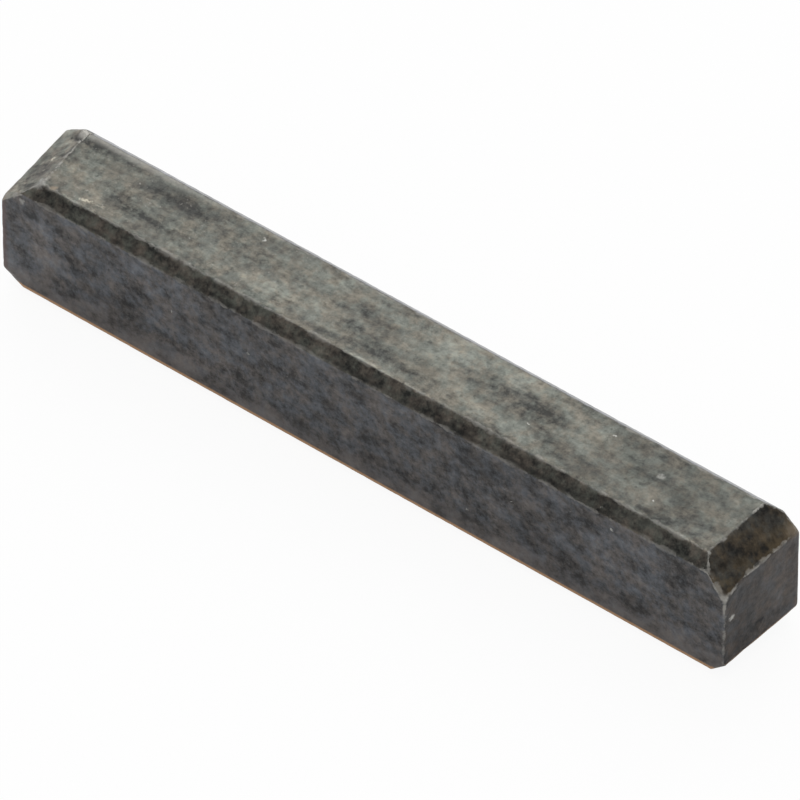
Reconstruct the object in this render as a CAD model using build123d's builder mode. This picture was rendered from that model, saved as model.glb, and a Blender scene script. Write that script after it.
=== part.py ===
"""Parallel key of plain steel: 1/4 in by 3/16 in section, 1-1/2 in long, with bevelled ends.

The key lies on one narrow side. X runs along it, from the left end to the right end. Y runs from
its front face to its back face, and Z is up. The origin is the middle of the side it lies on.
"""

from build123d import *
import os

# Key stock, in millimetres
key_length = 38.1  # 1-1/2 in
key_depth = 4.7625  # 3/16 in, from the front face to the back face
key_height = 6.35  # 1/4 in, from the underside to the top

# Long edges, broken at 45 degrees
top_edge_break = 0.56
bottom_edge_break = 0.40

# The right end was cut off a little out of square, so the key is shorter at its front face
right_end_skew = 0.23

# Upright end edges, worn round
corner_radius = 0.15

# Bevels across the ends, ground by hand, so no two are alike. A bevel starts one run in from the
# end at the front face and another at the back face. It meets the end one drop from the top or
# from the underside, measured at the front face.
left_top_front_run = 1.71
left_top_back_run = 1.34
left_top_drop = 1.30

right_top_front_run = 1.29
right_top_back_run = 1.40
right_top_drop = 1.10

left_bottom_front_run = 1.61
left_bottom_back_run = 1.61
left_bottom_drop = 0.92

right_bottom_front_run = 1.05
right_bottom_back_run = 1.03
right_bottom_drop = 0.85

# Facet that the grinding left on the front corner of the right end, from the start of the bevel
# down to the corner edge and to the bevel's lower edge
facet_drop = 1.71  # down the corner edge, from the top
facet_reach = 1.05  # along the bevel's lower edge, from the front face

# Nick where the top edge of the left bevel has broken away, at the back
nick_reach = 1.10  # from the back face, along the edge
nick_depth = 0.24  # below the top
nick_setback = 0.10  # how far it bites in behind the edge

# Dent struck in the right end
dent_radius = 0.70  # of the ball that would fit it
dent_depth = 0.12
dent_from_middle = 0.25  # towards the back face
dent_from_underside = 2.30


def end_x(end, y):
    """Where an end face lies at depth y. end is -1 for the left end and 1 for the right."""
    if end < 0:
        return -key_length / 2
    return key_length / 2 - right_end_skew * (0.5 - y / key_depth)


def bevel_start(end, side, run, y):
    """Point on the top (side 1) or the underside (side -1) where a bevel starts at depth y."""
    return Vector(end_x(end, y) - end * run, y, key_height * (1 + side) / 2)


def bevel_plane(end, side, front_run, back_run, drop):
    """Plane of one bevel, facing out."""
    front_start = bevel_start(end, side, front_run, -key_depth / 2)
    back_start = bevel_start(end, side, back_run, key_depth / 2)
    across = back_start - front_start
    front_stop = front_start + Vector(end * front_run, 0, -side * drop)
    outward = across.cross(front_stop - front_start) * (-end * side)
    return Plane(origin=front_start, x_dir=across, z_dir=outward)


right_top_bevel = bevel_plane(
    1, 1, right_top_front_run, right_top_back_run, right_top_drop
)

# The facet's three corners: the start of the bevel, the corner edge, and the bevel's lower edge
facet_start = bevel_start(1, 1, right_top_front_run, -key_depth / 2)
facet_foot = Vector(end_x(1, -key_depth / 2), -key_depth / 2, key_height - facet_drop)
facet_side_y = facet_reach - key_depth / 2
facet_side_run = right_top_front_run + (
    right_top_back_run - right_top_front_run
) * (facet_reach / key_depth)
facet_side_drop = right_top_drop * facet_side_run / right_top_front_run
facet_side = Vector(end_x(1, facet_side_y), facet_side_y, key_height - facet_side_drop)
facet_outward = (facet_foot - facet_start).cross(facet_side - facet_start)

with BuildPart() as key:
    # Bar with broken long edges
    with BuildSketch(Plane.YZ) as section:
        with Locations((0, key_height / 2)):
            Rectangle(key_depth, key_height)
        chamfer(section.vertices().group_by(Axis.Y)[-1], length=top_edge_break)
        chamfer(section.vertices().group_by(Axis.Y)[0], length=bottom_edge_break)
    extrude(amount=key_length / 2, both=True)

    # Right end, out of square
    right_end = Plane(
        origin=(end_x(1, -key_depth / 2), -key_depth / 2, 0),
        x_dir=(right_end_skew, key_depth, 0),
        z_dir=(key_depth, -right_end_skew, 0),
    )
    split(bisect_by=right_end, keep=Keep.BOTTOM)
    fillet(key.edges().filter_by(Axis.Z), radius=corner_radius)

    # Four end bevels and the corner facet
    for ground_flat in (
        bevel_plane(-1, 1, left_top_front_run, left_top_back_run, left_top_drop),
        bevel_plane(-1, -1, left_bottom_front_run, left_bottom_back_run, left_bottom_drop),
        bevel_plane(1, -1, right_bottom_front_run, right_bottom_back_run, right_bottom_drop),
        right_top_bevel,
        Plane(origin=facet_start, x_dir=facet_side - facet_start, z_dir=facet_outward),
    ):
        split(bisect_by=ground_flat, keep=Keep.BOTTOM)

    # Nick at the back of the left bevel, open to the end, the back and the top
    nick_inner_x = bevel_start(-1, 1, left_top_back_run, key_depth / 2).X + nick_setback
    with Locations((nick_inner_x, key_depth / 2, key_height)):
        Box(
            left_top_front_run,
            2 * nick_reach,
            2 * nick_depth,
            align=(Align.MAX, Align.CENTER, Align.CENTER),
            mode=Mode.SUBTRACT,
        )

    # Dent in the right end
    dent_centre_x = end_x(1, dent_from_middle) + dent_radius - dent_depth
    with Locations((dent_centre_x, dent_from_middle, dent_from_underside)):
        Sphere(dent_radius, mode=Mode.SUBTRACT)

key.part.label = "parallel_key"

os.makedirs("parts", exist_ok=True)
export_step(key.part, "parts/parallel_key.step")
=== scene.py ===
import math
from collections import namedtuple

import bpy
import numpy as np
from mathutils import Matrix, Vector


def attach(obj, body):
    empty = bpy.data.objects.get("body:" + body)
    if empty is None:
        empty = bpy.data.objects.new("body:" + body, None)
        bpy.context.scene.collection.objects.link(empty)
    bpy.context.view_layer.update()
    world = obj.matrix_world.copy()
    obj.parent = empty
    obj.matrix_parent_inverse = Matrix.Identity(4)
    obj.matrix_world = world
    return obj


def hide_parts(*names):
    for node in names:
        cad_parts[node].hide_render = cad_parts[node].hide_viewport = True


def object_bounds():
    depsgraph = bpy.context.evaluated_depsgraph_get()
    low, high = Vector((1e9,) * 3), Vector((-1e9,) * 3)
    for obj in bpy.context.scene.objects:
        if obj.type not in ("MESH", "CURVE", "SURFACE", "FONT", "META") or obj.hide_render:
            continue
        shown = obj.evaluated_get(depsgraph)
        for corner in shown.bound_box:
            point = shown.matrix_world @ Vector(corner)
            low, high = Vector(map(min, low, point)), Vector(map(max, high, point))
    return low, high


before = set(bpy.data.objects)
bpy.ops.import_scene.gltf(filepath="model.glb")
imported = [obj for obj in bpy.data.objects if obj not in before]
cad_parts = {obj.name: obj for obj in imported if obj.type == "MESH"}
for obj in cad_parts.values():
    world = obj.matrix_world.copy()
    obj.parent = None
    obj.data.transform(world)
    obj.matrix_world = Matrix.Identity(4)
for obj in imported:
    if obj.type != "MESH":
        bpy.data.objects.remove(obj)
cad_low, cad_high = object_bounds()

MM = 0.001
NODE = "parallel_key"

# ---------------------------------------------------------------- the key's sizes, in metres
LENGTH, DEPTH, HEIGHT = cad_high - cad_low
TOP_BREAK = 0.56 * MM
UNDER_BREAK = 0.40 * MM
WORN_BREAK = 0.09 * MM  # what wear leaves where a bevel has cut the broken edge away
BROKEN_CORNER = 0.36 * MM  # the same at the back of the left end, where more has broken off
ARRIS_RADIUS = 0.21 * MM

# A bevel starts one run in from the end and meets it one drop from the top or the underside,
# at the front face and at the back face. A corner dip grinds its front corner deeper.
Bevel = namedtuple("Bevel", "front_run back_run front_drop back_drop corner_dip")
LEFT, RIGHT = -1, 1
TOP_BEVELS = {
    LEFT: Bevel(1.71 * MM, 1.34 * MM, 1.38 * MM, 0.76 * MM, 0.0 * MM),
    RIGHT: Bevel(1.29 * MM, 1.40 * MM, 1.12 * MM, 1.16 * MM, 0.59 * MM),
}
UNDER_BEVELS = {
    LEFT: Bevel(1.61 * MM, 1.61 * MM, 0.92 * MM, 0.93 * MM, 0.0 * MM),
    RIGHT: Bevel(1.05 * MM, 1.03 * MM, 0.84 * MM, 0.86 * MM, 0.0 * MM),
}
DIP_REACH = 0.22  # how far the corner dip reaches, as a share of the depth
END_SKEW = {LEFT: 0.03 * MM, RIGHT: 0.23 * MM}  # how much shorter the key is at its front face

# Nick where the top edge of the left bevel has broken away, at the back
NICK_REACH = 1.10 * MM
NICK_DEPTH = 0.24 * MM
NICK_SETBACK = 0.10 * MM

# Mesh cells round the section, corner by corner from the top's front corner, and along the key
SIDE_CELLS = (7, 22, 5, 12, 5, 14, 7, 30)
ARC_CELLS = 3
BEVEL_CELLS = 20
MIDDLE_CELLS = 380
END_CELLS = 18
RIM_RISE = 0.07  # where the rounding of an end's rim stops on the bevels
START_RISE = 0.95  # where the rounding of a bevel's start begins
SIDE_SHARE = 0.4  # the most of a short side that one rounded arris may take
LIFT_FADE = 0.6 * MM  # how far above mid-height the lift beyond the corner dip is full
ARRIS_FADE = 0.1 * MM  # the same, in from the front and back faces
END_MIDDLE_GAP = 2 * MM  # edge_gap in the middle of an end face


# ---------------------------------------------------------------- the blank
def across_share(y):
    """How far y lies from the front face to the back face, from 0 to 1."""
    return y / DEPTH + 0.5


def bevel_run(bevel, y):
    return bevel.front_run + (bevel.back_run - bevel.front_run) * across_share(y)


def bevel_drop(bevel, y):
    share = across_share(y)
    dip = bevel.corner_dip * np.maximum(0, 1 - share / DIP_REACH)
    return bevel.front_drop + (bevel.back_drop - bevel.front_drop) * share + dip


def end_reach(end, y):
    """How far the end face lies from the key's middle."""
    return LENGTH / 2 - END_SKEW[end] * (1 - across_share(y))


def section_corners(end, rise):
    """The section's eight corners on one end's bevels. rise is 0 at the end face, 1 on the bar."""
    top, under = TOP_BEVELS[end], UNDER_BEVELS[end]
    corners = []
    for side in (-1, 1):
        face_y = side * DEPTH / 2
        top_cut = bevel_drop(top, face_y) * (1 - rise)
        under_cut = bevel_drop(under, face_y) * (1 - rise)
        least_break = BROKEN_CORNER if (end, side) == (LEFT, 1) else WORN_BREAK
        top_break = max(least_break, TOP_BREAK - top_cut)
        under_break = max(WORN_BREAK, UNDER_BREAK - under_cut)
        top_x = end * (end_reach(end, face_y) - bevel_run(top, face_y) * rise)
        under_x = end * (end_reach(end, face_y) - bevel_run(under, face_y) * rise)
        column = [
            (top_x, face_y - side * top_break, HEIGHT - top_cut),
            (top_x, face_y, HEIGHT - top_cut - top_break),
            (under_x, face_y, under_cut + under_break),
            (under_x, face_y - side * under_break, under_cut),
        ]
        corners += column if side < 0 else column[::-1]
    return np.array(corners)


def fill_out(end, rise, ring):
    """Lifts a section's top to its bevel where the corner dip has ended, which the section's
    straight side leaves out."""
    bevel = TOP_BEVELS[end]
    share = across_share(ring[:, 1])
    straight = bevel_drop(bevel, -DEPTH / 2) * (1 - share) + bevel_drop(bevel, DEPTH / 2) * share
    lift = (straight - bevel_drop(bevel, ring[:, 1])) * (1 - rise)
    upper = np.clip((ring[:, 2] - HEIGHT / 2) / LIFT_FADE, 0, 1)
    inner = np.clip((DEPTH / 2 - np.abs(ring[:, 1])) / ARRIS_FADE, 0, 1)
    ring[:, 2] += lift * upper * inner
    return ring


def eased(count):
    """Shares from 0 to 1 in count cells, finer towards both ends."""
    even = np.linspace(0, 1, count + 1)
    return 0.45 * even + 0.55 * (1 - np.cos(math.pi * even)) / 2


def arc(start, corner, stop):
    """Rows of points from start to stop that round a corner off."""
    return [
        start * (1 - s) ** 2 + corner * 2 * s * (1 - s) + stop * s**2
        for s in np.linspace(0, 1, ARC_CELLS + 1)
    ]


def rounded_ring(corners):
    """The section as one ring of points with its eight arrises rounded, and each point's gap to
    the nearest arris."""
    points, gaps = [], []
    count = len(corners)
    reach = ARRIS_RADIUS * math.tan(math.pi / 8)
    for i, corner in enumerate(corners):
        before, after = corners[i - 1], corners[(i + 1) % count]
        side_before = np.linalg.norm(before - corner)
        side_after = np.linalg.norm(after - corner)
        start = corner + (before - corner) / side_before * min(reach, SIDE_SHARE * side_before)
        cut = min(reach, SIDE_SHARE * side_after)
        stop = corner + (after - corner) / side_after * cut
        next_start = after + (corner - after) / side_after * cut
        rounded = arc(start, corner, stop)
        points += rounded
        gaps += [np.linalg.norm(p - corner) for p in rounded]
        for s in eased(SIDE_CELLS[i])[1:-1]:
            point = stop + (next_start - stop) * s
            points.append(point)
            gaps.append(min(np.linalg.norm(point - corner), np.linalg.norm(point - after)))
    return np.array(points), np.array(gaps)


def ring_at(end, rise):
    ring, gap = rounded_ring(section_corners(end, rise))
    return fill_out(end, rise, ring), gap


def end_rows(end):
    """Rings from the middle of an end face, over its rim and up the bevels towards the bar."""
    rim, _ = ring_at(end, 0)
    foot, _ = ring_at(end, RIM_RISE)
    start, _ = ring_at(end, 1)
    centre = rim.mean(axis=0)
    inset = [centre + (rim - centre) * k for k in np.linspace(0.07, 0.955, END_CELLS)]
    rings = inset[:-1] + arc(inset[-1], rim, foot)[:-1]
    gaps = [np.linalg.norm(ring - rim, axis=1) for ring in rings]
    for rise in RIM_RISE + (START_RISE - RIM_RISE) * eased(BEVEL_CELLS)[:-1]:
        ring, gap = ring_at(end, rise)
        to_rim = np.linalg.norm(ring - rim, axis=1)
        to_start = np.where(on_flat(ring), np.linalg.norm(ring - start, axis=1), DEPTH)
        rings.append(ring)
        gaps.append(np.minimum(gap, np.minimum(to_rim, to_start)))
    return rings, gaps


def on_flat(ring):
    """Which points of a section lie on its top or its underside, between the broken edges."""
    edge_break = np.where(ring[:, 2] > HEIGHT / 2, TOP_BREAK, UNDER_BREAK)
    return np.abs(ring[:, 1]) < DEPTH / 2 - edge_break + ARRIS_RADIUS / 2


def blank_rows():
    """All rings of the key from its left end to its right, each with its gaps to the arrises."""
    left_rings, left_gaps = end_rows(LEFT)
    right_rings, right_gaps = end_rows(RIGHT)
    left_start, edge_gap = ring_at(LEFT, 1)
    right_start, _ = ring_at(RIGHT, 1)
    shares = np.linspace(0, 1, MIDDLE_CELLS + 1)
    bar = [left_start + (right_start - left_start) * s for s in shares]

    middle = arc(ring_at(LEFT, START_RISE)[0], left_start, bar[1])
    middle += bar[2:-2]
    middle += arc(bar[-2], right_start, ring_at(RIGHT, START_RISE)[0])
    gaps = []
    for ring in middle:
        flat = on_flat(ring)
        to_left = np.where(flat, np.linalg.norm(ring - left_start, axis=1), DEPTH)
        to_right = np.where(flat, np.linalg.norm(ring - right_start, axis=1), DEPTH)
        gaps.append(np.minimum(edge_gap, np.minimum(to_left, to_right)))
    rings = left_rings + middle + right_rings[::-1]
    return np.array(rings), np.array(left_gaps + gaps + right_gaps[::-1])


def break_nick(points):
    """Presses the broken edge at the back of the left bevel down to its ledge."""
    inner_x = -LENGTH / 2 + TOP_BEVELS[LEFT].back_run + NICK_SETBACK
    inside = (points[:, 0] < inner_x) & (points[:, 1] > DEPTH / 2 - NICK_REACH)
    ledge = HEIGHT - NICK_DEPTH
    points[:, 2] = np.where(inside, np.minimum(points[:, 2], ledge), points[:, 2])
    return points


def key_blank():
    """The key as turned out by the maker: one closed mesh with even rings and an edge_gap value."""
    rings, gaps = blank_rows()
    rows, count = gaps.shape
    points = break_nick(rings.reshape(-1, 3))
    left_middle = rings[0].mean(axis=0)
    right_middle = rings[-1].mean(axis=0)
    vertices = np.vstack([points, left_middle, right_middle])
    left_pole, right_pole = len(points), len(points) + 1
    faces = []
    for r in range(rows - 1):
        for c in range(count):
            n = (c + 1) % count
            faces.append((r * count + c, r * count + n, (r + 1) * count + n, (r + 1) * count + c))
    last = (rows - 1) * count
    for c in range(count):
        n = (c + 1) % count
        faces.append((left_pole, n, c))
        faces.append((right_pole, last + c, last + n))
    mesh = bpy.data.meshes.new("key_blank")
    mesh.from_pydata(vertices.tolist(), [], faces)
    edge_gap = mesh.attributes.new("edge_gap", "FLOAT", "POINT")
    all_gaps = np.append(gaps.reshape(-1), [END_MIDDLE_GAP, END_MIDDLE_GAP])
    edge_gap.data.foreach_set("value", all_gaps.astype(np.float32))
    mesh.update()
    return mesh


# ---------------------------------------------------------------- node helpers
class Tree:
    """Short calls that add nodes to a shader or geometry tree and join them."""

    def __init__(self, tree):
        self.tree = tree

    def node(self, kind, inputs=None, **settings):
        made = self.tree.nodes.new(kind)
        for name, value in settings.items():
            setattr(made, name, value)
        for key, value in (inputs or {}).items():
            socket = made.inputs[key]
            if isinstance(value, bpy.types.NodeSocket):
                self.tree.links.new(value, socket)
            else:
                socket.default_value = value
        return made

    def math(self, operation, a, b=0.0, clamp=False):
        made = self.node("ShaderNodeMath", {0: a, 1: b}, operation=operation, use_clamp=clamp)
        return made.outputs[0]

    def vector(self, operation, a, b=(0, 0, 0)):
        return self.node("ShaderNodeVectorMath", {0: a, 1: b}, operation=operation).outputs[0]

    def scaled(self, a, factors):
        return self.vector("MULTIPLY", a, factors)

    def parts(self, a):
        return self.node("ShaderNodeSeparateXYZ", {0: a}).outputs

    def step(self, value, low, high, out_low=0.0, out_high=1.0):
        """A smooth step of value from low to high."""
        made = self.node(
            "ShaderNodeMapRange",
            {"Value": value, "From Min": low, "From Max": high, "To Min": out_low, "To Max": out_high},
            interpolation_type="SMOOTHSTEP",
        )
        return made.outputs[0]

    def noise(self, place, scale, detail=3.0, roughness=0.55, seed=0.0):
        made = self.node(
            "ShaderNodeTexNoise",
            {"Vector": place, "W": seed, "Scale": scale, "Detail": detail, "Roughness": roughness},
            noise_dimensions="4D",
        )
        return made.outputs[0]

    def both(self, *masks):
        product = masks[0]
        for mask in masks[1:]:
            product = self.math("MULTIPLY", product, mask)
        return product

    def uneven(self, *weighted):
        """A factor about 1 that several noises push up and down, each by its own weight."""
        total = 1.0
        for noise, weight in weighted:
            total = self.math("ADD", total, self.math("MULTIPLY", self.math("SUBTRACT", noise, 0.5), weight))
        return self.math("MAXIMUM", total, 0.15)

    def gap_to(self, place, start, stop=None):
        """How far a place is from a point, or from the line between two points."""
        from_start = self.vector("SUBTRACT", place, start)
        if stop is None:
            return self.node("ShaderNodeVectorMath", {0: from_start}, operation="LENGTH").outputs["Value"]
        line = Vector(stop) - Vector(start)
        dot = self.node("ShaderNodeVectorMath", {0: from_start, 1: line}, operation="DOT_PRODUCT")
        share = self.math("DIVIDE", dot.outputs["Value"], line.length_squared, clamp=True)
        on_line = self.node("ShaderNodeVectorMath", {0: tuple(line), "Scale": share}, operation="SCALE")
        gap = self.vector("SUBTRACT", from_start, on_line.outputs[0])
        return self.node("ShaderNodeVectorMath", {0: gap}, operation="LENGTH").outputs["Value"]

    def frayed(self, place, scale, detail, reach):
        """A place pushed about unevenly, so that what is laid there gets ragged edges."""
        cloud = self.node("ShaderNodeTexNoise", {"Vector": place, "Scale": scale, "Detail": detail})
        push = self.vector("SUBTRACT", cloud.outputs["Color"], (0.5, 0.5, 0.5))
        return self.vector("ADD", place, self.scaled(push, (reach, reach, reach)))

    def mix(self, share, a, b):
        made = self.node("ShaderNodeMix", data_type="RGBA", clamp_factor=True)
        for name, value in (("Factor", share), ("A", a), ("B", b)):
            wanted = "VALUE" if name == "Factor" else "RGBA"
            socket = [s for s in made.inputs if s.name == name and s.type == wanted][0]
            if isinstance(value, bpy.types.NodeSocket):
                self.tree.links.new(value, socket)
            else:
                socket.default_value = value if name == "Factor" else (*value, 1.0)
        return [s for s in made.outputs if s.type == "RGBA"][0]

    def tint(self, colour, factor):
        """A colour made lighter or darker by a factor."""
        return self.node("ShaderNodeVectorMath", {0: colour, "Scale": factor}, operation="SCALE").outputs[0]


# ---------------------------------------------------------------- wear on the shape
# Dents pressed into the surface, in mm: middle, radius, depth
DENTS = (
    ((18.93, -0.17, 1.74), 0.42, 0.10),
    ((-9.05, 2.20, 6.35), 0.35, 0.05),
    ((14.40, -1.90, 6.25), 0.40, 0.04),
    ((-17.60, -1.75, 6.30), 0.30, 0.05),
    ((4.10, -2.38, 5.80), 0.35, 0.03),
    ((-5.90, -2.38, 3.80), 0.22, 0.03),
    ((18.88, -1.40, 4.60), 0.30, 0.03),
)
# Corners rubbed round: which way each one points, and how much has gone, in mm
RUBBED_CORNERS = (
    ((1, 1, 0.7), 0.02),
    ((1, -1, 0.4), 0.08),
    ((-1, -1, 1), 0.10),
    ((1, -1, -1), 0.06),
    ((-1, 1, 1), 0.05),
)


def key_wear(blank_points):
    """Geometry tree that wears the blank: waves, rubbed arrises and corners, and dents."""
    tree = bpy.data.node_groups.new("key_wear", "GeometryNodeTree")
    tree.interface.new_socket("Geometry", in_out="OUTPUT", socket_type="NodeSocketGeometry")
    tree.interface.new_socket("Geometry", in_out="INPUT", socket_type="NodeSocketGeometry")
    for name in ("Waviness", "Arris Wear", "Dent Depth", "Corner Wear", "Seed"):
        tree.interface.new_socket(name, in_out="INPUT", socket_type="NodeSocketFloat")
    tree.interface.new_socket("Finish", in_out="INPUT", socket_type="NodeSocketMaterial")
    t = Tree(tree)
    given = t.node("NodeGroupInput").outputs
    place = t.scaled(t.node("GeometryNodeInputPosition").outputs[0], (1 / MM, 1 / MM, 1 / MM))
    normal = t.node("GeometryNodeInputNormal").outputs["Normal"]
    named = t.node("GeometryNodeInputNamedAttribute", {"Name": "edge_gap"}, data_type="FLOAT")
    gap = t.math("DIVIDE", named.outputs["Attribute"], MM)
    seed = given["Seed"]

    # Long shallow waves in the flats, and chips along the arrises; the underside stays flat
    waves = t.noise(t.scaled(place, (0.35, 1, 1)), 0.45, 2, 0.5, seed)
    depth = t.both(given["Waviness"], t.step(waves, 0.35, 0.7), t.step(gap, 0.1, 0.8))
    chips = t.noise(place, 2.2, 4, 0.65, seed)
    chipped = t.both(given["Arris Wear"], t.step(chips, 0.42, 0.75), t.step(gap, 0.22, 0.0))
    depth = t.math("ADD", depth, chipped)
    depth = t.math("MULTIPLY", depth, t.step(t.parts(place)[2], 0.1, 0.5))

    dented = 0.0
    for middle, radius, dent_depth in DENTS:
        bowl = t.step(t.gap_to(place, middle), radius, 0.0)
        dented = t.math("MAXIMUM", dented, bowl)
        depth = t.math("ADD", depth, t.both(given["Dent Depth"], bowl, dent_depth))
    pressed = t.math("MULTIPLY", depth, -MM)
    inward = t.node("ShaderNodeVectorMath", {0: normal, "Scale": pressed}, operation="SCALE")
    worn = t.node("GeometryNodeSetPosition", {"Geometry": given["Geometry"], "Offset": inward.outputs[0]})

    shape = worn.outputs[0]
    for way, rubbed in RUBBED_CORNERS:
        out = Vector(way).normalized()
        reach = max(point.dot(out) for point in blank_points) / MM - rubbed
        along = t.node("ShaderNodeVectorMath", {0: place, 1: out}, operation="DOT_PRODUCT").outputs["Value"]
        beyond = t.math("MAXIMUM", t.math("SUBTRACT", along, reach), 0.0)
        back = t.both(beyond, given["Corner Wear"], -MM)
        offset = t.node("ShaderNodeVectorMath", {0: tuple(out), "Scale": back}, operation="SCALE")
        shape = t.node("GeometryNodeSetPosition", {"Geometry": shape, "Offset": offset.outputs[0]}).outputs[0]

    stored = t.node(
        "GeometryNodeStoreNamedAttribute",
        {"Geometry": shape, "Name": "dented", "Value": dented},
        data_type="FLOAT",
        domain="POINT",
    )
    real = t.node("GeometryNodeRealizeInstances", {"Geometry": stored.outputs[0]})
    finished = t.node("GeometryNodeSetMaterial", {"Geometry": real.outputs[0], "Material": given["Finish"]})
    t.node("NodeGroupOutput", {"Geometry": finished.outputs[0]})
    return tree


def worn_key(finish):
    """The blank with its wear baked in, as one plain object."""
    blank_mesh = key_blank()
    blank = bpy.data.objects.new("key_blank", blank_mesh)
    bpy.context.scene.collection.objects.link(blank)
    tree = key_wear([vertex.co for vertex in blank_mesh.vertices])
    amounts = {
        "Waviness": 0.035,
        "Arris Wear": 0.03,
        "Dent Depth": 1.0,
        "Corner Wear": 0.85,
        "Seed": 4.0,
        "Finish": finish,
    }
    wear = blank.modifiers.new("key_wear", "NODES")
    wear.node_group = tree
    for item in tree.interface.items_tree:
        if item.item_type == "SOCKET" and item.in_out == "INPUT" and item.name in amounts:
            wear[item.identifier] = amounts[item.name]
    seen = blank.evaluated_get(bpy.context.evaluated_depsgraph_get())
    baked = bpy.data.meshes.new_from_object(seen)
    baked.name = "key"
    bpy.data.objects.remove(blank)
    made = bpy.data.objects.new("key", baked)
    bpy.context.scene.collection.objects.link(made)
    for face in baked.polygons:
        face.use_smooth = True
    return made


# ---------------------------------------------------------------- the finish
# Each zone's colour where it is cooler and where it is warmer
# Painted light and shade: the tones differ from facing to facing as light falls on them, the top lighter, the
# end and the broken edges darker
TOP_TONE = ((0.104, 0.111, 0.096), (0.117, 0.107, 0.085))
FLANK_TONE = ((0.078, 0.084, 0.094), (0.092, 0.083, 0.078))
END_TONE = ((0.042, 0.042, 0.044), (0.052, 0.041, 0.034))
BREAK_TONE = ((0.058, 0.060, 0.050), (0.068, 0.057, 0.046))
# Painted highlight on the left bevel and painted shade on the right bevel, the same steel lit from different
# sides
LEFT_BEVEL_HIGHLIGHT_TONE = ((0.190, 0.200, 0.172), (0.212, 0.190, 0.155))
RIGHT_BEVEL_SHADE_TONE = ((0.038, 0.037, 0.032), (0.048, 0.036, 0.022))
# Painted reflection: the pale tone of the back rim
RIM_REFLECTION_TONE = ((0.150, 0.155, 0.175), (0.165, 0.165, 0.170))
BARE_METAL = (0.30, 0.29, 0.265)
BRIGHT_METAL = (0.48, 0.48, 0.45)
REFLECTED_ORANGE = (0.56, 0.33, 0.18)
TAN = (0.26, 0.205, 0.145)
DUSTY = (0.200, 0.180, 0.170)
OLD_RED = (0.120, 0.070, 0.066)
GOLD_BROWN = (0.135, 0.095, 0.045)

# The faces that marks lie on, in mm
TOP = HEIGHT / MM
FRONT = -DEPTH / MM / 2
TOP_EDGE = FRONT + TOP_BREAK / MM  # where the top meets its broken front edge
DARK_LINE_HEIGHT = 5.91
PATCH_FRAY = 0.7  # how far patches are frayed
MARK_FRAY = 0.35  # the same for thin marks, flecks and stains

# Broad lighter and darker patches, in mm: middle, half sizes, factor
PATCHES = (
    ((-12.0, 0.9, TOP), (1.9, 0.75, 0.5), 0.66),
    ((-15.6, 1.1, TOP), (1.3, 0.9, 0.5), 0.80),
    ((-16.2, -1.0, TOP), (0.9, 0.6, 0.5), 0.82),
    ((1.4, -0.35, TOP), (1.6, 0.35, 0.5), 0.70),
    ((-0.6, 0.3, TOP), (1.3, 0.6, 0.5), 0.80),
    ((5.6, -0.5, TOP), (1.2, 0.4, 0.5), 0.80),
    ((10.4, -1.2, TOP), (1.4, 0.45, 0.5), 0.68),
    ((14.5, -1.55, TOP), (0.9, 0.13, 0.3), 0.42),
    ((15.0, -0.1, TOP), (1.2, 0.7, 0.5), 0.84),
    ((16.4, 0.9, TOP), (1.6, 0.9, 0.5), 0.88),
    ((13.6, 0.2, TOP), (4.6, 2.6, 0.5), 0.74),
    ((-5.0, -0.9, TOP), (4.0, 0.8, 0.5), 1.16),
    ((4.4, -1.2, TOP), (2.2, 0.5, 0.5), 1.18),
    ((3.0, 1.0, TOP), (3.5, 0.8, 0.5), 1.10),
    ((9.0, 0.8, TOP), (2.6, 0.7, 0.5), 1.08),
    ((-16.8, FRONT, 3.6), (1.5, 0.5, 1.6), 1.18),
    ((-11.0, FRONT, 4.6), (2.6, 0.5, 0.8), 1.15),
    ((-7.0, FRONT, 1.8), (3.2, 0.5, 1.2), 1.12),
    ((-13.0, FRONT, 2.2), (2.4, 0.5, 0.9), 0.82),
    ((7.5, FRONT, 4.8), (3.6, 0.5, 0.7), 0.80),
    ((9.5, FRONT, 2.6), (2.6, 0.5, 1.0), 0.84),
    ((13.8, FRONT, 3.6), (2.2, 0.5, 1.2), 1.14),
    ((16.0, FRONT, 1.0), (2.0, 0.5, 0.5), 1.10),
    ((18.9, -1.5, 1.6), (0.4, 0.50, 0.70), 0.75),
    ((18.9, 1.2, 2.6), (0.4, 0.60, 1.00), 1.25),
    ((18.9, -0.9, 3.9), (0.4, 0.80, 0.60), 0.85),
)

# Bright flecks, in mm: middle, radius, share of bare metal
FLECKS = (
    ((-7.9, 1.3, TOP), 0.10, 0.7),
    ((7.3, -0.5, TOP), 0.07, 0.7),
    ((10.5, 1.1, TOP), 0.08, 0.6),
    ((14.0, -0.9, TOP), 0.09, 0.9),
    ((13.4, 0.4, TOP), 0.20, 0.35),
    ((-3.2, -2.1, 6.1), 0.07, 0.6),
    ((12.4, -2.2, 6.0), 0.07, 0.7),
    ((-5.9, FRONT, 3.8), 0.09, 0.6),
    ((-9.9, FRONT, 3.8), 0.06, 0.9),
    ((13.0, FRONT, 5.2), 0.11, 0.8),
    ((7.4, FRONT, 3.2), 0.05, 0.8),
    ((7.9, FRONT, 3.7), 0.05, 0.7),
    ((5.6, FRONT, 1.8), 0.06, 0.9),
    ((-17.4, -1.8, 6.3), 0.34, 0.45),
    ((-17.5, -1.6, 6.2), 0.16, 0.6),
    ((-17.9, -2.4, 5.4), 0.18, 0.45),
    ((17.6, -1.8, 6.3), 0.15, 0.6),
    ((18.8, -2.3, 4.7), 0.20, 1.0),
    ((18.8, -2.3, 5.1), 0.13, 0.7),
    ((18.85, -1.9, 3.4), 0.18, 0.9),
)

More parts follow.
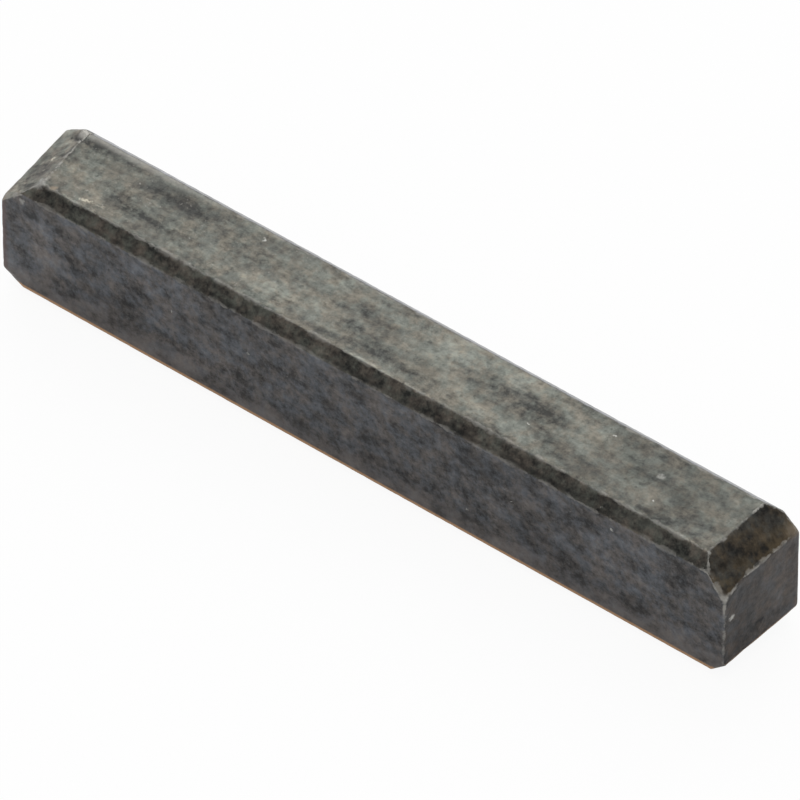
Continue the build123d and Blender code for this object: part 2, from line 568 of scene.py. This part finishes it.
# Thin marks, in mm: start, stop, half width, factor
LINES = (
    ((-15.4, -1.5, TOP), (-15.0, -1.4, TOP), 0.10, 2.6),
    ((-14.8, -1.4, TOP), (-14.2, -1.3, TOP), 0.08, 2.0),
    # Painted shadow: the next mark darkens the slit where the left bevel's top edge has broken away at the
    # back
    ((-18.2, 1.4, 5.9), (-17.9, 1.9, 6.2), 0.10, 0.03),
    ((18.9, -0.5, 1.7), (18.95, 0.1, 1.8), 0.19, 0.28),
    ((18.95, 0.2, 1.7), (18.9, -0.1, 1.4), 0.09, 1.7),
    ((11.0, TOP_EDGE, TOP), (17.6, TOP_EDGE, TOP), 0.10, 1.45),
    ((13.7, -1.5, TOP), (15.2, -1.4, TOP), 0.17, 0.50),
    ((-17.7, 2.1, TOP), (-17.35, -1.8, TOP), 0.08, 1.6),
    ((3.1, FRONT, 5.7), (4.1, FRONT, 5.7), 0.05, 0.45),
    ((5.3, FRONT, 5.6), (6.7, FRONT, 5.7), 0.06, 0.55),
    ((4.9, FRONT, 4.5), (4.8, FRONT, 5.3), 0.03, 1.8),
    ((7.0, FRONT, 4.0), (8.0, FRONT, 4.3), 0.03, 1.5),
    ((-18.4, FRONT, 4.1), (-18.3, FRONT, 4.2), 0.12, 0.55),
    ((-18.4, FRONT, 2.6), (-17.7, FRONT, 2.6), 0.08, 0.65),
    ((11.0, FRONT, 1.6), (16.0, FRONT, 1.3), 0.12, 0.80),
    ((-17.3, TOP_EDGE, TOP), (-14.4, TOP_EDGE, TOP), 0.13, 1.55),
    ((-1.0, TOP_EDGE, TOP), (3.2, TOP_EDGE, TOP), 0.11, 1.6),
    ((-18.1, 0.1, 5.9), (-18.0, -0.5, 5.9), 0.09, 2.3),
    ((-18.0, -0.6, 6.0), (-17.9, -1.1, 6.0), 0.07, 2.0),
)

# Tan stains on two corners, in mm: middle, radius
TAN_STAINS = (
    ((18.95, 2.1, 5.4), 0.60),
    ((-16.7, -1.7, 6.3), 0.22),
)


def blackened_steel():
    """Worn black oxide on cold-drawn steel."""
    material = bpy.data.materials.new("blackened_steel")
    material.use_nodes = True
    material.node_tree.nodes.clear()
    t = Tree(material.node_tree)
    coordinates = t.node("ShaderNodeTexCoord")
    place = t.scaled(coordinates.outputs["Object"], (1 / MM, 1 / MM, 1 / MM))
    facing = t.parts(coordinates.outputs["Normal"])
    gap = t.math("DIVIDE", t.node("ShaderNodeAttribute", attribute_name="edge_gap").outputs["Fac"], MM)
    dented = t.node("ShaderNodeAttribute", attribute_name="dented").outputs["Fac"]
    x, y, z = t.parts(place)

    # Which way the surface faces
    endways = t.math("ABSOLUTE", facing[0])
    sideways = t.math("ABSOLUTE", facing[1])
    on_top = t.step(facing[2], 0.86, 0.96)
    on_end = t.step(endways, 0.86, 0.96)
    on_slope = t.both(t.step(facing[2], 0.25, 0.5), t.step(facing[2], 0.97, 0.88))
    on_bevel = t.both(on_slope, t.step(endways, 0.35, 0.55))
    on_break = t.both(on_slope, t.step(sideways, 0.35, 0.55))
    to_right = t.step(facing[0], -0.1, 0.1)
    at_front = t.step(facing[1], -0.6, -0.9)

    # Streaks along the key, clouds, grain, dark pits and bright specks
    streaks = t.noise(t.scaled(place, (0.34, 1.1, 1.1)), 0.9, 4, 0.62, seed=3.0)
    clouds = t.noise(t.scaled(place, (0.7, 1.0, 1.0)), 1.0, 4, 0.62, seed=11.0)
    hues = t.noise(place, 1.7, 3, 0.6, seed=15.0)
    grain = t.noise(place, 3.0, 3, 0.6, seed=5.0)
    fine = t.noise(place, 11.0, 2, 0.6, seed=8.0)
    pits = t.step(t.noise(place, 3.6, 2, 0.5, seed=31.0), 0.36, 0.28)
    specks = t.step(t.noise(place, 8.0, 2, 0.5, seed=27.0), 0.64, 0.74)
    old_side = t.step(x, 2.0, -8.0)

    top_shade = t.both(
        t.uneven((streaks, 4.2), (grain, 2.4), (fine, 0.8)),
        t.uneven((t.math("ADD", 0.5, t.both(t.math("SUBTRACT", clouds, 0.5), old_side)), 2.6)),
    )
    flank_shade = t.uneven((clouds, 4.2), (grain, 2.8), (fine, 1.0))
    slope_shade = t.uneven((clouds, 4.4), (grain, 3.8), (fine, 1.2))

    def zone(tone, shade):
        return t.tint(t.mix(t.step(hues, 0.35, 0.65), *tone), shade)

    # Painted light and shade: each facing gets its own tone from the table above
    colour = t.mix(on_end, zone(FLANK_TONE, flank_shade), zone(END_TONE, flank_shade))
    colour = t.mix(on_top, colour, zone(TOP_TONE, top_shade))
    colour = t.mix(on_break, colour, zone(BREAK_TONE, slope_shade))
    bevels = t.mix(to_right, zone(LEFT_BEVEL_HIGHLIGHT_TONE, top_shade), zone(RIGHT_BEVEL_SHADE_TONE, slope_shade))
    colour = t.mix(on_bevel, colour, bevels)
    colour = t.tint(colour, t.math("SUBTRACT", 1.0, t.math("MULTIPLY", pits, 0.35)))

    # Broad patches, with ragged edges
    ragged_place = t.frayed(place, 1.3, 3.0, PATCH_FRAY)
    for middle, half_sizes, factor in PATCHES:
        inside = t.vector("DIVIDE", t.vector("SUBTRACT", ragged_place, middle), half_sizes)
        far = t.node("ShaderNodeVectorMath", {0: inside}, operation="LENGTH").outputs["Value"]
        colour = t.tint(colour, t.step(far, 1.25, 0.35, 1.0, factor))

    # The lower part of the front face is rubbed lighter
    rubbed_low = t.both(t.step(z, 1.9, 0.6), at_front, t.step(clouds, 0.35, 0.6, 0.4, 1.0))
    colour = t.mix(t.math("MULTIPLY", rubbed_low, 0.6), colour, DUSTY)

    # Marks, with frayed edges
    frayed = t.frayed(place, 6.0, 2.0, MARK_FRAY)
    for start, stop, half_width, factor in LINES:
        mark = t.step(t.gap_to(frayed, start, stop), half_width, half_width * 0.35, 1.0, factor)
        colour = t.tint(colour, mark)
    speckled = t.math("ADD", t.both(on_top, old_side, 0.4), t.both(at_front, 0.25))
    colour = t.mix(t.both(specks, speckled), colour, BARE_METAL)
    for middle, radius, share in FLECKS:
        fleck = t.step(t.gap_to(frayed, middle), radius * 1.1, radius * 0.3)
        colour = t.mix(t.math("MULTIPLY", fleck, share), colour, BRIGHT_METAL)
    # Painted shade: the dents are darkened in colour, most at their middles
    colour = t.tint(colour, t.math("SUBTRACT", 1.0, t.math("MULTIPLY", dented, 0.6)))

    # Arrises rubbed bare, most of all at the ends
    dashes = t.noise(t.scaled(place, (0.8, 1, 1)), 2.4, 3, 0.6, seed=21.0)
    wobble = t.math("MULTIPLY", t.math("SUBTRACT", grain, 0.5), 0.25)
    width = t.step(t.noise(place, 1.5, 3, 0.6, seed=23.0), 0.40, 0.62, 0.04, 0.20)
    near = t.step(t.math("DIVIDE", t.math("ADD", gap, wobble), width), 1.0, 0.3)
    at_ends = t.step(t.math("ABSOLUTE", x), 16.8, 17.4)
    rubbed = t.both(near, t.step(dashes, 0.38, 0.60, 0.15, 1.0), t.math("ADD", 0.45, t.both(at_ends, 0.5)))
    rubbed = t.math("MULTIPLY", rubbed, t.step(z, 0.8, 2.5, 0.5, 1.0))
    colour = t.mix(rubbed, colour, BARE_METAL)

    # Painted reflection: the back's upper edge is painted pale along its whole length, as a bright rim of
    # reflected light
    rim_reflection = t.both(t.step(facing[1], 0.3, 0.6), t.step(facing[2], 0.3, 0.5), t.step(z, 5.2, 5.7))
    colour = t.mix(rim_reflection, colour, zone(RIM_REFLECTION_TONE, slope_shade))

    # A darker line on the broken front edge, just above the face
    line_band = t.step(t.math("ABSOLUTE", t.math("SUBTRACT", z, DARK_LINE_HEIGHT)), 0.12, 0.02)
    dark_line = t.both(line_band, on_break, t.step(facing[1], -0.3, -0.6), t.step(streaks, 0.4, 0.6))
    colour = t.tint(colour, t.math("SUBTRACT", 1.0, t.math("MULTIPLY", dark_line, 0.5)))

    # At the left end the painted rim reflection widens over the top
    widened = t.both(on_top, t.step(y, 1.35, 1.78), t.step(x, -9.0, -16.5))
    colour = t.mix(t.math("MULTIPLY", widened, 0.6), colour, BARE_METAL)

    # Stains: gold-brown on the right bevel's lower edge, old red down the left edge and tan on two
    # corners; and a painted reflection, an orange-brown line along the bottom edges
    low_edge = t.both(on_bevel, to_right, t.step(z, 5.9, 5.3), t.step(dashes, 0.4, 0.6))
    colour = t.mix(t.math("MULTIPLY", low_edge, 0.32), colour, GOLD_BROWN)
    left_edge = t.both(t.step(x, -18.6, -18.95), t.step(z, 5.2, 4.6), t.step(y, -1.9, -2.3))
    colour = t.mix(t.math("MULTIPLY", left_edge, 0.7), colour, OLD_RED)
    for middle, radius in TAN_STAINS:
        colour = t.mix(t.both(t.step(t.gap_to(frayed, middle), radius, 0.05), 0.55), colour, TAN)
    # Painted reflection: an orange-brown line along the bottom edges and the right end's lower rim
    bottom_reflection = t.both(t.step(z, 0.66, 0.50), t.step(gap, 0.24, 0.10), t.step(facing[2], -0.95, -0.7))
    end_reflection = t.both(on_end, to_right, t.step(z, 1.02, 0.92), t.step(gap, 0.16, 0.06))
    colour = t.mix(t.math("MAXIMUM", bottom_reflection, t.both(end_reflection, 0.6)), colour, REFLECTED_ORANGE)

    roughness = t.math("SUBTRACT", t.step(clouds, 0.3, 0.7, 0.42, 0.56), t.both(rim_reflection, 0.24))
    height = t.math("ADD", t.math("MULTIPLY", grain, 0.030), t.math("MULTIPLY", fine, 0.012))
    bump = t.node("ShaderNodeBump", {"Height": height, "Distance": MM, "Strength": 0.6})
    shader = t.node(
        "ShaderNodeBsdfPrincipled",
        {
            "Base Color": colour,
            "Metallic": 0.5,
            "Roughness": roughness,
            "Normal": bump.outputs[0],
        },
    )
    t.node("ShaderNodeOutputMaterial", {"Surface": shader.outputs[0]})
    return material


# ---------------------------------------------------------------- light, floor and camera
def studio_world():
    """Soft even light, white where the camera sees past the floor."""
    world = bpy.data.worlds.new("studio")
    bpy.context.scene.world = world
    world.use_nodes = True
    world.node_tree.nodes.clear()
    t = Tree(world.node_tree)
    rays = t.node("ShaderNodeLightPath")
    dim = t.node("ShaderNodeBackground", {"Color": (1, 1, 1, 1), "Strength": 0.5})
    white = t.node("ShaderNodeBackground", {"Color": (1, 1, 1, 1), "Strength": 1.0})
    mixed = t.node(
        "ShaderNodeMixShader",
        {0: rays.outputs["Is Camera Ray"], 1: dim.outputs[0], 2: white.outputs[0]},
    )
    t.node("ShaderNodeOutputWorld", {"Surface": mixed.outputs[0]})


def pale_floor():
    side = 3.0
    mesh = bpy.data.meshes.new("floor")
    corners = [(-side, -side), (side, -side), (side, side), (-side, side)]
    mesh.from_pydata([(px, py, cad_low.z) for px, py in corners], [], [(0, 1, 2, 3)])
    floor = bpy.data.objects.new("floor", mesh)
    bpy.context.scene.collection.objects.link(floor)
    material = bpy.data.materials.new("pale_floor")
    material.use_nodes = True
    material.node_tree.nodes.clear()
    t = Tree(material.node_tree)
    rays = t.node("ShaderNodeLightPath")
    paper = t.node("ShaderNodeBsdfDiffuse", {"Color": (0.85, 0.85, 0.85, 1)})
    white = t.node("ShaderNodeEmission", {"Color": (1, 1, 1, 1), "Strength": 1.0})
    share = t.math("MULTIPLY", rays.outputs["Is Camera Ray"], 0.93)
    mixed = t.node("ShaderNodeMixShader", {0: share, 1: paper.outputs[0], 2: white.outputs[0]})
    t.node("ShaderNodeOutputMaterial", {"Surface": mixed.outputs[0]})
    mesh.materials.append(material)


def soft_lamp(name, place, size, power):
    lamp = bpy.data.lights.new(name, "AREA")
    lamp.shape = "DISK"
    lamp.size = size
    lamp.energy = power
    holder = bpy.data.objects.new(name, lamp)
    bpy.context.scene.collection.objects.link(holder)
    holder.location = place
    aim = Vector((0, 0, HEIGHT / 2)) - Vector(place)
    holder.rotation_euler = aim.to_track_quat("-Z", "Y").to_euler()


VIEW_AZIMUTH = math.radians(38.195)
VIEW_ELEVATION = math.radians(44.542)
VIEW_DISTANCE = 599.6 * MM
VIEW_WIDTH = 32.95 * MM  # what the picture spans at the key
AIM_RIGHT = 0.186 * MM
AIM_UP = -0.225 * MM


def camera():
    a, e = VIEW_AZIMUTH, VIEW_ELEVATION
    back = Vector((math.sin(a) * math.cos(e), -math.cos(a) * math.cos(e), math.sin(e)))
    right = Vector((math.cos(a), math.sin(a), 0))
    up = back.cross(right)
    data = bpy.data.cameras.new("camera")
    data.sensor_width = 36
    data.lens = data.sensor_width * VIEW_DISTANCE / VIEW_WIDTH
    data.clip_start = 0.01
    data.clip_end = 20
    made = bpy.data.objects.new("camera", data)
    bpy.context.scene.collection.objects.link(made)
    middle = Vector((0, 0, HEIGHT / 2))
    made.location = middle + back * VIEW_DISTANCE + right * AIM_RIGHT + up * AIM_UP
    made.rotation_euler = back.to_track_quat("Z", "Y").to_euler()
    bpy.context.scene.camera = made


bpy.context.scene.view_settings.view_transform = "Standard"
studio_world()
pale_floor()
soft_lamp("back_left", (-0.485, 0.616, 0.77), 1.0, 6.0)
soft_lamp("overhead", (0.1, -0.1, 1.1), 0.8, 3.5)
camera()

key = worn_key(blackened_steel())
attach(key, "root")
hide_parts(NODE)
